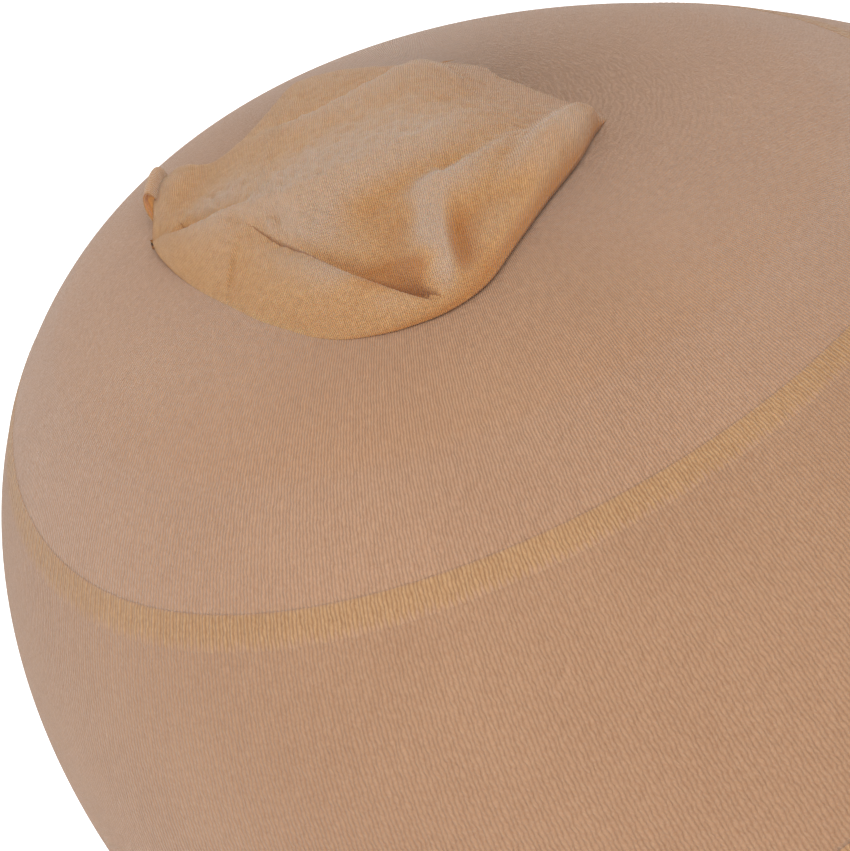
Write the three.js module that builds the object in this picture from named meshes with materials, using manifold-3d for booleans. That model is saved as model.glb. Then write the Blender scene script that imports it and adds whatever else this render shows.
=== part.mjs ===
import * as THREE from 'three';
import Module from 'manifold-3d';
import { mergeVertices } from 'three/addons/utils/BufferGeometryUtils.js';

// A knitted stocking cap for under a wig, stretched as it is when worn, with its loose closed toe lying
// on the back of the crown. Millimetres, +Z up, the front of the cap towards -Y. The origin is the
// middle of the hollow that the cap is stretched around.

// Stretched form, measured at the outside of the knit
const formLength = 203;
const formWidth = 156;
const formHeight = 141;
const formTiltDegrees = 26.3; // the long way rises towards the back
const backFullness = 0.011; // extra width at the back, as a share of the width
// Shallow dents of the back: depth as a share of the radius, and where each lies from the top down the back
const backDents = [
  { name: 'upper back', depth: 0.026, degreesFromTop: 75, spreadDegrees: 25 },
  { name: 'lower back', depth: 0.022, degreesFromTop: 115, spreadDegrees: 30 },
];

// Knit, with its depths measured down the outside from the middle of its crown
const knitTiltDegrees = 31.5; // the middle of the crown lies behind the top
const knitOvality = 0.039; // a row of the knit lies lower at front and back than at the sides
const crownDepth = 54.8;
const upperLineWidth = 3.4;
const middleBandDepth = 42.4;
const lowerLineWidth = 3.4;
const rimWeltDepth = 31;

// Walls and clearance
const crownWall = 1;
const lineWall = 1.5;
const lineRaise = 0.25; // how far a ribbed line stands proud of the knit beside it
const bandWall = 1.2;
const weltWall = 2;
const pieceGap = 0.3;

// Loose toe, a flattened pouch that lies on the crown
const toeLength = 54;
const toeWidth = 50;
const toeRise = 7;
const toeWall = 0.5;
const plyGap = 0.2; // least space between the two plies of the toe
const toeEdgeThickness = 1.5; // two plies and the space between them along the outline
const toeThinning = 18; // over this length the flat toe grows from nothing at its root to its full thickness
const toeFromCrownMiddle = 11.8;
const toeTurnDegrees = 35.3; // where it lies round the crown, from the back towards the wearer's right
const toeHeadingDegrees = -60; // which way its length runs, from straight down the knit
const mouthLength = 16; // slot at the crown's middle, through which the toe joins the hollow
const mouthWidth = 5;
const mouthTurnDegrees = 100; // which way the slot runs, from the back towards the wearer's right

// Rolled end of the toe's closing seam, a flat roll that leans back over the toe
const rollLength = 6.8;
const rollBreadth = 4.2;
const rollThickness = 1.9;
const rollLeanDegrees = 45;
const rollHeadingDegrees = -100; // which way it runs on the toe's map, from the way of the toe's length
const rollStart = { along: 0.511, across: -0.236 }; // shares of toeLength and toeWidth

// Outline of the toe, a row for each section along it: along is a share of toeLength, back and front
// are shares of toeWidth, and lift is how far the front edge stands off the crown, a share of toeRise.
const toeSections = [
  { along: -0.49, back: -0.185, front: -0.15, lift: 0.02 },
  { along: -0.419, back: -0.282, front: 0.031, lift: 0.06 },
  { along: -0.341, back: -0.392, front: 0.161, lift: 0.06 },
  { along: -0.263, back: -0.5, front: 0.28, lift: 0.05 },
  { along: -0.195, back: -0.545, front: 0.369, lift: 0.04 },
  { along: -0.107, back: -0.53, front: 0.42, lift: 0.02 },
  { along: -0.007, back: -0.532, front: 0.436, lift: 0 },
  { along: 0.133, back: -0.574, front: 0.412, lift: 0 },
  { along: 0.184, back: -0.562, front: 0.383, lift: 0 },
  { along: 0.233, back: -0.455, front: 0.344, lift: 0 },
  { along: 0.303, back: -0.352, front: 0.275, lift: 0 },
  { along: 0.37, back: -0.33, front: 0.187, lift: 0 },
  { along: 0.437, back: -0.355, front: 0.09, lift: 0 },
  { along: 0.5, back: -0.36, front: -0.02, lift: 0.02 },
  { along: 0.55, back: -0.32, front: -0.13, lift: 0.02 },
];

// The root of the toe, where its top runs down into the crown, as shares of toeLength and toeWidth
const toeRoot = { from: [-0.235, -0.54], to: [-0.49, -0.18] };

// Folds of the toe. A crest has a row for each of its points: shares of toeLength and toeWidth, and the
// rise over the flat toe as a share of toeRise. It falls off over its spreads, shares of toeWidth, on
// the left and right of its run.
const toeFolds = [
  { name: 'lip', leftSpread: 0.045, rightSpread: 0.19,
    crest: [[0.487, -0.123, 0.23], [0.366, -0.045, 0.51], [0.235, -0.009, 0.6], [0.181, 0.1, 0.57],
      [0.045, 0.275, 0.54], [-0.053, 0.368, 0.43], [-0.126, 0.419, 0.17]] },
  { name: 'main ridge', leftSpread: 0.06, rightSpread: 0.08,
    crest: [[0.332, -0.053, 0.49], [0.16, -0.002, 0.69], [0.067, 0.005, 0.69], [-0.096, -0.04, 0.54],
      [-0.207, -0.123, 0.29], [-0.293, -0.244, 0]] },
  { name: 'cross arm', leftSpread: 0.045, rightSpread: 0.07,
    crest: [[-0.071, 0.099, 0.34], [-0.173, 0.089, 0.57], [-0.262, 0.011, 0.43], [-0.411, -0.17, 0]] },
  { name: 'cross stem', leftSpread: 0.045, rightSpread: 0.07,
    crest: [[-0.154, 0.095, 0.51], [-0.149, 0.229, 0.54], [-0.143, 0.32, 0.49], [-0.058, 0.401, 0.14]] },
  { name: 'right ridge', leftSpread: 0.06, rightSpread: 0.05,
    crest: [[-0.488, -0.141, 0.17], [-0.445, -0.106, 0.4], [-0.4, -0.018, 0.54], [-0.348, 0.063, 0.51],
      [-0.276, 0.104, 0.29], [-0.195, 0.109, 0]] },
  { name: 'right edge', leftSpread: 0.07, rightSpread: 0.05,
    crest: [[-0.128, 0.42, 0.17], [-0.214, 0.35, 0.29], [-0.306, 0.205, 0.31], [-0.389, 0.065, 0.31],
      [-0.477, -0.135, 0.11]] },
  { name: 'far fold', leftSpread: 0.045, rightSpread: 0.095,
    crest: [[0.217, -0.328, 0.11], [0.082, -0.282, 0.31], [-0.053, -0.313, 0.46], [-0.116, -0.369, 0.49],
      [-0.161, -0.456, 0.34], [-0.283, -0.436, 0]] },
  { name: 'top crease', leftSpread: 0.045, rightSpread: 0.08,
    crest: [[0.048, -0.168, 0.14], [-0.077, -0.194, 0.29], [-0.133, -0.223, 0.29], [-0.266, -0.424, 0]] },
];

// Steps of the surfaces
const turnSteps = 60;
const rowStep = 9; // length of a facet down the knit, at most
const toeSteps = 32;
const toeSideSteps = 20;
const crestSamples = 6; // for each pair of neighbouring points of a crest
const edgeSqueeze = 0.35; // 0 for even steps across the toe, 1 for steps that shrink fully at its edges
const endRoundness = 20; // the higher it is, the flatter the toe stays up to its ends
const sideRoundness = 16; // and up to its sides
const rollTurnSteps = 10;
const rollSteps = 8;

const radians = THREE.MathUtils.degToRad;
const wasm = await Module();
wasm.setup();

const halfLength = formLength / 2;
const halfWidth = formWidth / 2;
const halfHeight = formHeight / 2;
const formTilt = radians(formTiltDegrees);
const longWay = new THREE.Vector3(0, Math.cos(formTilt), Math.sin(formTilt));
const highWay = new THREE.Vector3(0, -Math.sin(formTilt), Math.cos(formTilt));
const knitTilt = radians(knitTiltDegrees);
const knitMiddle = new THREE.Vector3(0, Math.sin(knitTilt), Math.cos(knitTilt));
const knitBack = new THREE.Vector3(0, Math.cos(knitTilt), -Math.sin(knitTilt));
const knitRight = new THREE.Vector3(-1, 0, 0);
const meanRadius = Math.cbrt(halfLength * halfWidth * halfHeight);

// A soft bump on the form: 1 in its own direction, fading out over its spread
function bump(direction, { degreesFromTop, spreadDegrees }) {
  const towards = new THREE.Vector3(0, Math.sin(radians(degreesFromTop)), Math.cos(radians(degreesFromTop)));
  return Math.exp(-(1 - direction.dot(towards)) / (1 - Math.cos(radians(spreadDegrees))));
}

// Point of the form in a direction from its middle, moved out along the form's normal by lift
function formPoint(direction, lift) {
  const widened = direction.x / (1 + backFullness * direction.y);
  const share = new THREE.Vector3(
    widened / halfWidth,
    direction.dot(longWay) / halfLength,
    direction.dot(highWay) / halfHeight,
  );
  const dents = backDents.reduce((sum, dent) => sum - dent.depth * bump(direction, dent), 1);
  const normal = new THREE.Vector3(share.x / halfWidth, 0, 0)
    .addScaledVector(longWay, share.y / halfLength)
    .addScaledVector(highWay, share.z / halfHeight)
    .normalize();
  return direction.clone().multiplyScalar(dents / share.length()).addScaledVector(normal, lift);
}

// Direction to a point of the knit, from its depth below the crown's middle and its turn from the back
function knitDirection(depth, turn) {
  const angle = (depth / meanRadius) * (1 + knitOvality * Math.cos(2 * turn));
  return new THREE.Vector3()
    .addScaledVector(knitMiddle, Math.cos(angle))
    .addScaledVector(knitBack, Math.sin(angle) * Math.cos(turn))
    .addScaledVector(knitRight, Math.sin(angle) * Math.sin(turn));
}

// Closed mesh from points and triangles, as one solid
function solidFrom(points, triangles) {
  const geometry = new THREE.BufferGeometry();
  geometry.setAttribute('position', new THREE.Float32BufferAttribute(points.flatMap((p) => p.toArray()), 3));
  geometry.setIndex(triangles.flat());
  const merged = mergeVertices(geometry, 1e-4);
  const mesh = new wasm.Mesh({
    numProp: 3,
    vertProperties: new Float32Array(merged.attributes.position.array),
    triVerts: new Uint32Array(merged.index.array),
  });
  return new wasm.Manifold(mesh);
}

// Shell swept once round the knit from a closed section. A corner is a depth and a lift off the form,
// and a corner at depth 0 is one point, where the section meets the crown's middle.
function sweptShell(section) {
  const points = [];
  const rings = section.map(({ depth, lift }) => {
    const count = depth > 0 ? turnSteps : 1;
    const first = points.length;
    for (let j = 0; j < count; j += 1) {
      points.push(formPoint(knitDirection(depth, (j / turnSteps) * 2 * Math.PI), lift));
    }
    return (j) => first + (j % count);
  });
  const triangles = [];
  for (let i = 0; i < rings.length; i += 1) {
    const here = rings[i];
    const next = rings[(i + 1) % rings.length];
    for (let j = 0; j < turnSteps; j += 1) {
      const corners = [here(j), next(j), next(j + 1), here(j + 1)];
      for (const [a, b, c] of [[0, 1, 2], [0, 2, 3]]) {
        const triangle = [corners[a], corners[b], corners[c]];
        if (new Set(triangle).size === 3) triangles.push(triangle);
      }
    }
  }
  return solidFrom(points, triangles);
}

// Section of a band of knit between two depths: its outside, its lower edge and its inside
function bandSection(startDepth, endDepth, wall, raise, lowerFold) {
  const count = Math.max(1, Math.ceil((endDepth - startDepth) / rowStep));
  const depthOf = (i) => THREE.MathUtils.lerp(startDepth, endDepth, i / count);
  const rows = Array.from({ length: count + 1 }, (_, i) => depthOf(i));
  const outside = rows.map((depth) => ({ depth, lift: raise }));
  const inside = rows.map((depth) => ({ depth, lift: raise - wall })).reverse();
  if (!lowerFold) return [...outside, ...inside];
  const fold = [-60, -30, 0, 30, 60].map((degrees) => ({
    depth: endDepth + (wall / 2) * Math.cos(radians(degrees)),
    lift: raise - wall / 2 - (wall / 2) * Math.sin(radians(degrees)),
  }));
  return [...outside, ...fold, ...inside];
}

// The toe's own flat map: along its length and across its width from the toe's middle
const toeDirection = knitDirection(toeFromCrownMiddle, radians(toeTurnDegrees));
const toeMiddle = formPoint(toeDirection, 0);
const toeUp = formPoint(toeDirection, 1).sub(toeMiddle);
const downKnit = knitDirection(toeFromCrownMiddle + 1, radians(toeTurnDegrees))
  .sub(toeDirection)
  .projectOnPlane(toeUp)
  .normalize();
const toeAlong = downKnit.clone().applyAxisAngle(toeUp, radians(toeHeadingDegrees));
const toeAcross = new THREE.Vector3().crossVectors(toeUp, toeAlong);

function toePoint(along, across, lift) {
  const direction = toeMiddle.clone()
    .addScaledVector(toeAlong, along)
    .addScaledVector(toeAcross, across)
    .normalize();
  return formPoint(direction, lift);
}

// Smooth curve through values at rising places: on each span a cubic whose slopes at its ends are
// those of the line between the neighbours on either side
function smoothThrough(places, values, at) {
  let i = 0;
  while (i < places.length - 2 && at > places[i + 1]) i += 1;
  const before = Math.max(i - 1, 0);
  const after = Math.min(i + 2, places.length - 1);
  const span = places[i + 1] - places[i];
  const t = THREE.MathUtils.clamp((at - places[i]) / span, 0, 1);
  const startSlope = ((values[i + 1] - values[before]) / (places[i + 1] - places[before])) * span;
  const endSlope = ((values[after] - values[i]) / (places[after] - places[i])) * span;
  return (2 * t ** 3 - 3 * t ** 2 + 1) * values[i] + (t ** 3 - 2 * t ** 2 + t) * startSlope
    + (3 * t ** 2 - 2 * t ** 3) * values[i + 1] + (t ** 3 - t ** 2) * endSlope;
}

function sectionValue(column, along) {
  return smoothThrough(toeSections.map((row) => row.along), toeSections.map((row) => row[column]), along);
}

// Points along a fold's crest, each with its place, its rise and the way the crest runs there
function crestLine({ crest }) {
  const knots = crest.map((_, i) => i);
  const count = crestSamples * (crest.length - 1);
  const samples = Array.from({ length: count + 1 }, (_, k) => {
    const at = k / crestSamples;
    const column = (c) => smoothThrough(knots, crest.map((row) => row[c]), at);
    const place = new THREE.Vector2(column(0) * toeLength, column(1) * toeWidth);
    return { place, rise: Math.max(0, column(2)) * toeRise };
  });
  return samples.map((sample, k) => {
    const ahead = samples[Math.min(k + 1, count)].place;
    const behind = samples[Math.max(k - 1, 0)].place;
    return { ...sample, run: ahead.clone().sub(behind).normalize() };
  });
}

const crestLines = toeFolds.map((fold) => ({ fold, samples: crestLine(fold) }));

// Height that one fold adds at a point of the toe's map, from its nearest crest point
function foldRise({ fold, samples }, place) {
  let nearest = samples[0];
  for (const sample of samples) {
    if (sample.place.distanceTo(place) < nearest.place.distanceTo(place)) nearest = sample;
  }
  const isLeft = nearest.run.cross(place.clone().sub(nearest.place)) > 0;
  const spread = toeWidth * (isLeft ? fold.leftSpread : fold.rightSpread);
  return nearest.rise * Math.exp(-((nearest.place.distanceTo(place) / spread) ** 2));
}

// Share of the flat toe's full thickness, from its distance inside the root line
function fullness(place) {
  const onMap = ([along, across]) => new THREE.Vector2(along * toeLength, across * toeWidth);
  const [from, to] = [onMap(toeRoot.from), onMap(toeRoot.to)];
  const inside = place.clone().sub(from).cross(to.clone().sub(from).normalize());
  const t = THREE.MathUtils.clamp(inside / toeThinning, 0, 1);
  return t * (2 - t);
}

// Closed pillow in the shape of the toe, drawn in by inset on every side
function toePillow(inset) {
  const first = toeSections[0].along * toeLength + inset;
  const last = toeSections[toeSections.length - 1].along * toeLength - inset;
  const ease = (t) => THREE.MathUtils.lerp(t, (1 - Math.cos(Math.PI * t)) / 2, edgeSqueeze);
  const points = [];
  const sheet = (isTop) => Array.from({ length: toeSteps + 1 }, (_, i) => {
    const u = ease(i / toeSteps);
    const along = first + (last - first) * u;
    const back = toeWidth * sectionValue('back', along / toeLength) + inset;
    const front = toeWidth * sectionValue('front', along / toeLength) - inset;
    const lift = toeRise * sectionValue('lift', along / toeLength);
    return Array.from({ length: toeSideSteps + 1 }, (__, k) => {
      const v = ease(k / toeSideSteps);
      const place = new THREE.Vector2(along, back + (front - back) * v);
      const side = 1 - Math.abs(2 * v - 1) ** sideRoundness;
      const closing = Math.sqrt(side * (1 - Math.abs(2 * u - 1) ** endRoundness));
      const under = pieceGap + lift * THREE.MathUtils.smoothstep(v, 0.5, 1);
      const flat = Math.max(toeEdgeThickness * fullness(place), 2 * toeWall + plyGap);
      const folds = Math.cbrt(crestLines.reduce((sum, line) => sum + foldRise(line, place) ** 3, 0));
      const half = flat / 2 - inset;
      const height = under + flat / 2 + (isTop ? half + folds : -half) * closing;
      points.push(toePoint(place.x, place.y, height));
      return points.length - 1;
    });
  });
  const top = sheet(true);
  const bottom = sheet(false);
  const triangles = [];
  for (let i = 0; i < toeSteps; i += 1) {
    for (let k = 0; k < toeSideSteps; k += 1) {
      const above = [top[i][k], top[i + 1][k], top[i + 1][k + 1], top[i][k + 1]];
      const below = [bottom[i][k], bottom[i + 1][k], bottom[i + 1][k + 1], bottom[i][k + 1]];
      triangles.push([above[0], above[1], above[2]], [above[0], above[2], above[3]]);
      triangles.push([below[0], below[2], below[1]], [below[0], below[3], below[2]]);
    }
  }
  return solidFrom(points, triangles);
}

// Rolled seam end at the toe's far corner, thickened by grow on every side. Its section is an ellipse
// whose long way leans back over the toe, and it closes to a point at both ends.
function seamRoll(grow) {
  const heading = new THREE.Vector2(1, 0).rotateAround(new THREE.Vector2(), radians(rollHeadingDegrees));
  const side = new THREE.Vector2(heading.y, -heading.x);
  const lean = radians(rollLeanDegrees);
  const [halfBreadth, halfThickness] = [rollBreadth / 2, rollThickness / 2];
  const halfRise = Math.hypot(halfBreadth * Math.sin(lean), halfThickness * Math.cos(lean));
  const points = [];
  for (let i = 0; i <= rollSteps; i += 1) {
    const share = (1 - Math.cos((Math.PI * i) / rollSteps)) / 2;
    const reach = -grow + (rollLength + 2 * grow) * share;
    const closing = Math.sqrt(1 - Math.abs(2 * share - 1) ** 3);
    for (let j = 0; j < rollTurnSteps; j += 1) {
      const turn = (j / rollTurnSteps) * 2 * Math.PI;
      const broad = (halfBreadth + grow) * closing * Math.cos(turn);
      const thick = (halfThickness + grow) * closing * Math.sin(turn);
      const sideways = broad * Math.cos(lean) - thick * Math.sin(lean);
      const along = rollStart.along * toeLength + heading.x * reach + side.x * sideways;
      const across = rollStart.across * toeWidth + heading.y * reach + side.y * sideways;
      const height = pieceGap + halfRise + broad * Math.sin(lean) + thick * Math.cos(lean);
      points.push(toePoint(along, across, height));
    }
  }
  const triangles = [];
  for (let i = 0; i < rollSteps; i += 1) {
    for (let j = 0; j < rollTurnSteps; j += 1) {
      const next = (j + 1) % rollTurnSteps;
      const [a, b] = [i * rollTurnSteps + j, i * rollTurnSteps + next];
      const [c, d] = [a + rollTurnSteps, b + rollTurnSteps];
      triangles.push([a, c, b], [b, c, d]);
    }
  }
  return solidFrom(points, triangles.filter((t) => new Set(t).size === 3));
}

// Cutter for the mouth, a slot at the crown's middle from below the crown up to a lift above it
function mouthCutter(top) {
  const heading = radians(mouthTurnDegrees);
  const points = [];
  for (const lift of [-2 * crownWall, top]) {
    for (const [alongSlot, acrossSlot] of [[-0.5, -0.5], [0.5, -0.5], [0.5, 0.5], [-0.5, 0.5]]) {
      const [x, y] = [alongSlot * mouthLength, acrossSlot * mouthWidth];
      const corner = knitDirection(Math.hypot(x, y), heading + Math.atan2(y, x));
      points.push(formPoint(corner, lift));
    }
  }
  const triangles = [[0, 2, 1], [0, 3, 2], [4, 5, 6], [4, 6, 7]];
  for (let j = 0; j < 4; j += 1) {
    const next = (j + 1) % 4;
    triangles.push([j, next, next + 4], [j, next + 4, j + 4]);
  }
  return solidFrom(points, triangles);
}

const group = new THREE.Group();

function addPiece(name, solid, color, roughness) {
  const { vertProperties, triVerts, numProp } = solid.getMesh();
  const positions = new Float32Array((vertProperties.length / numProp) * 3);
  for (let i = 0; i < positions.length / 3; i += 1) {
    positions.set(vertProperties.subarray(i * numProp, i * numProp + 3), i * 3);
  }
  const geometry = new THREE.BufferGeometry();
  geometry.setAttribute('position', new THREE.BufferAttribute(positions, 3));
  geometry.setIndex(new THREE.BufferAttribute(new Uint32Array(triVerts), 1));
  geometry.computeVertexNormals();
  const mesh = new THREE.Mesh(geometry, new THREE.MeshStandardMaterial({ color, roughness, metalness: 0 }));
  mesh.name = name;
  group.add(mesh);
}

// Crown of single knit, closed at its middle and open below, with the slot into the toe
const crownRows = bandSection(0, crownDepth - pieceGap / 2, crownWall, 0, false);
const crown = sweptShell(crownRows).subtract(mouthCutter(2 * crownWall));
addPiece('crown', crown, 0xba9071, 0.95);

// Bands below the crown, each starting where the one above ends
const bands = [
  { name: 'upper_ribbed_line', depth: upperLineWidth, wall: lineWall, raise: lineRaise, color: 0xc2976d },
  { name: 'middle_band', depth: middleBandDepth, wall: bandWall, raise: 0, color: 0xba977a },
  { name: 'lower_ribbed_line', depth: lowerLineWidth, wall: lineWall, raise: lineRaise, color: 0xc2976d },
  { name: 'rim_welt', depth: rimWeltDepth, wall: weltWall, raise: 0, color: 0xab8360, lowerFold: true },
];
let start = crownDepth;
for (const band of bands) {
  const foldDepth = band.lowerFold ? band.wall / 2 : 0;
  const end = start + band.depth;
  const [top, bottom] = [start + pieceGap / 2, end - pieceGap / 2 - foldDepth];
  const section = bandSection(top, bottom, band.wall, band.raise, band.lowerFold);
  addPiece(band.name, sweptShell(section), band.color, 0.95);
  start = end;
}

// Toe pouch of two plies, hollow, open to the crown through the mouth
const hollow = toePillow(toeWall).subtract(seamRoll(pieceGap + toeWall));
const toeMouth = mouthCutter(pieceGap + toeEdgeThickness / 2);
const pouch = toePillow(0).subtract(seamRoll(pieceGap)).subtract(hollow).subtract(toeMouth);
addPiece('toe_pouch', pouch, 0xb28f72, 0.98);
addPiece('seam_roll', seamRoll(0), 0xc39f7a, 0.98);

export default group;
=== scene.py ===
import math
import bpy
import numpy as np
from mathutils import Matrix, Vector


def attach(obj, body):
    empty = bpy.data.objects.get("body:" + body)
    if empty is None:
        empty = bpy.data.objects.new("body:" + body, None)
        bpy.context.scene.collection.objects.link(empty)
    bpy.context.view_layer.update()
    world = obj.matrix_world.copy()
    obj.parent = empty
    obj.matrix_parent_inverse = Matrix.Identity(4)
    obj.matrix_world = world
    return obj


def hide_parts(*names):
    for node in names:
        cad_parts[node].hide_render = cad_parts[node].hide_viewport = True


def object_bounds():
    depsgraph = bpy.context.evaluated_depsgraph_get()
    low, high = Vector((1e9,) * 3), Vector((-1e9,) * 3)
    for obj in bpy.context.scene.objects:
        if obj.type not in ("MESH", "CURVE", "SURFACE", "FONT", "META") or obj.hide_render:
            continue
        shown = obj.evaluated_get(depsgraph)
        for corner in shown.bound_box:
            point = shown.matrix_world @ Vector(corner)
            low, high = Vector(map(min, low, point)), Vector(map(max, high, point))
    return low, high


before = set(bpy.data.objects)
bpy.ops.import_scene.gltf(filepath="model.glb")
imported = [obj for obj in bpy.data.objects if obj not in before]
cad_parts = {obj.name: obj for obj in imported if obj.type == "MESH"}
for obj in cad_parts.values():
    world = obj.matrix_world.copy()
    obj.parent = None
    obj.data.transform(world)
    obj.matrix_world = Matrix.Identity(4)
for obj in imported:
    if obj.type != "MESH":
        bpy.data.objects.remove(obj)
cad_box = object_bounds()

# The studio: a pale floor well below the cap, a white surround and soft lamps, with the camera at
# the wearer's right, behind and above, as far away and as long in its lens as the view needs.
CAMERA_TURN = math.radians(246.5)
CAMERA_HEIGHT = math.radians(27.4)
CAMERA_REACH = 0.990
CAMERA_AIM = Vector((0.0106, 0.0426, 0.0317))
CAMERA_LENS = 366.9
FLOOR_DROP = 0.30
FLOOR_REACH = 6.0
WHITE = (1.0, 1.0, 1.0)

camera_back = Vector((math.sin(CAMERA_TURN) * math.cos(CAMERA_HEIGHT),
                      -math.cos(CAMERA_TURN) * math.cos(CAMERA_HEIGHT),
                      math.sin(CAMERA_HEIGHT)))
camera_data = bpy.data.cameras.new("camera")
camera_data.sensor_width = 36.0
camera_data.lens = CAMERA_LENS
camera_data.clip_start = 0.05
camera_data.clip_end = 20.0
camera = bpy.data.objects.new("camera", camera_data)
camera.location = CAMERA_AIM + camera_back * CAMERA_REACH
camera.rotation_mode = "QUATERNION"
camera.rotation_quaternion = (-camera_back).to_track_quat("-Z", "Y")
bpy.context.scene.collection.objects.link(camera)
bpy.context.scene.camera = camera
bpy.context.scene.view_settings.view_transform = "Standard"

world = bpy.data.worlds.new("white_surround")
world.use_nodes = True
world.node_tree.nodes["Background"].inputs["Color"].default_value = (*WHITE, 1.0)
world.node_tree.nodes["Background"].inputs["Strength"].default_value = 0.66
bpy.context.scene.world = world


def softbox(name, turn_degrees, height_degrees, reach, size, power, colour):
    """A square lamp on a sphere of radius reach round the cap, facing its middle."""
    turn = math.radians(turn_degrees)
    height = math.radians(height_degrees)
    lamp_data = bpy.data.lights.new(name, "AREA")
    lamp_data.shape = "SQUARE"
    lamp_data.size = size
    lamp_data.energy = power
    lamp_data.color = colour
    lamp = bpy.data.objects.new(name, lamp_data)
    away = Vector((math.sin(turn) * math.cos(height), -math.cos(turn) * math.cos(height), math.sin(height)))
    lamp.location = away * reach
    lamp.rotation_mode = "QUATERNION"
    lamp.rotation_quaternion = (-away).to_track_quat("-Z", "Y")
    bpy.context.scene.collection.objects.link(lamp)


softbox("key_softbox", 240.0, 46.0, 1.2, 0.65, 10.6, (1.0, 0.98, 0.95))
softbox("back_softbox", 80.0, 22.0, 1.2, 0.8, 3.5, (0.96, 0.98, 1.0))

floor_mesh = bpy.data.meshes.new("floor")
floor_z = float(cad_box[0][2]) - FLOOR_DROP
floor_corners = [(x * FLOOR_REACH, y * FLOOR_REACH, floor_z) for x, y in ((-1, -1), (1, -1), (1, 1), (-1, 1))]
floor_mesh.from_pydata(floor_corners, [], [(0, 1, 2, 3)])
floor = bpy.data.objects.new("floor", floor_mesh)
bpy.context.scene.collection.objects.link(floor)
floor_paint = bpy.data.materials.new("pale_floor")
floor_paint.use_nodes = True
floor_shader = floor_paint.node_tree.nodes["Principled BSDF"]
floor_shader.inputs["Base Color"].default_value = (0.95, 0.95, 0.95, 1.0)
floor_shader.inputs["Roughness"].default_value = 0.9
floor_shader.inputs["Emission Color"].default_value = (*WHITE, 1.0)
floor_shader.inputs["Emission Strength"].default_value = 0.44
floor_mesh.materials.append(floor_paint)

# The crown: plain nylon knit stretched smooth over the back of the top, one run of 400 wales that
# draws in to the mouth of the toe. It is knitted as a tube, so its rows lie round its middle.
FORM_HALF = np.array([0.078, 0.1015, 0.0705])
FORM_TILT = math.radians(26.3)
BACK_FULLNESS = 0.011
UPPER_BACK_DENT = (0.026, 75.0, 25.0)
LOWER_BACK_DENT = (0.022, 115.0, 30.0)
KNIT_TILT = math.radians(31.5)
KNIT_OVALITY = 0.039
CROWN_DEPTH = 0.0548
KNIT_WALL = 0.0006
WALES = 400
COURSE = 0.00062
MOUTH_HALF_LENGTH = 0.008
MOUTH_HALF_WIDTH = 0.0025
MOUTH_TURN = math.radians(100.0)
CROWN_YARN = (0.43, 0.250, 0.148)
CROWN_GAP = (0.30, 0.155, 0.082)
LOOSER_YARN = (0.43, 0.258, 0.162)
LOOSER_GAP = (0.29, 0.155, 0.086)
DENSER_DEPTH = 0.043
DENSER_STEP = 0.0004
DENSER_GROOVE = 0.00007

mean_radius = float(np.prod(FORM_HALF)) ** (1 / 3)
long_way = np.array([0.0, math.cos(FORM_TILT), math.sin(FORM_TILT)])
high_way = np.array([0.0, -math.sin(FORM_TILT), math.cos(FORM_TILT)])
knit_middle = np.array([0.0, math.sin(KNIT_TILT), math.cos(KNIT_TILT)])
knit_back = np.array([0.0, math.cos(KNIT_TILT), -math.sin(KNIT_TILT)])
knit_right = np.array([-1.0, 0.0, 0.0])


def form_point(direction, lift):
    """The stretched form: an ellipsoid tilted up at the back, with two shallow dents at the back, each
    a share of the radius that fades as exp(-(1 - cos angle) / (1 - cos spread)) from its own direction.
    The point is moved out along the ellipsoid's normal by lift."""
    widened = direction[..., 0] / (1 + BACK_FULLNESS * direction[..., 1])
    share = np.stack([widened / FORM_HALF[0], direction @ long_way / FORM_HALF[1],
                      direction @ high_way / FORM_HALF[2]], axis=-1)
    dents = np.ones(direction.shape[:-1])
    for depth, from_top, spread in (UPPER_BACK_DENT, LOWER_BACK_DENT):
        towards = np.array([0.0, math.sin(math.radians(from_top)), math.cos(math.radians(from_top))])
        dents = dents - depth * np.exp(-(1 - direction @ towards) / (1 - math.cos(math.radians(spread))))
    slope = share / FORM_HALF
    normal = (slope[..., :1] * np.array([1.0, 0.0, 0.0]) + slope[..., 1:2] * long_way
              + slope[..., 2:] * high_way)
    normal = normal / np.linalg.norm(normal, axis=-1, keepdims=True)
    radius = dents / np.linalg.norm(share, axis=-1)
    return direction * radius[..., None] + normal * np.asarray(lift)[..., None]


def knit_direction(depth, turn):
    """The direction of a stitch: its depth down the knit over the mean radius is its angle from the
    knit's middle, made larger at front and back and smaller at the sides by the ovality."""
    angle = depth / mean_radius * (1 + KNIT_OVALITY * np.cos(2 * turn))
    outwards = np.cos(turn)[..., None] * knit_back + np.sin(turn)[..., None] * knit_right
    return np.cos(angle)[..., None] * knit_middle + np.sin(angle)[..., None] * outwards


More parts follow.
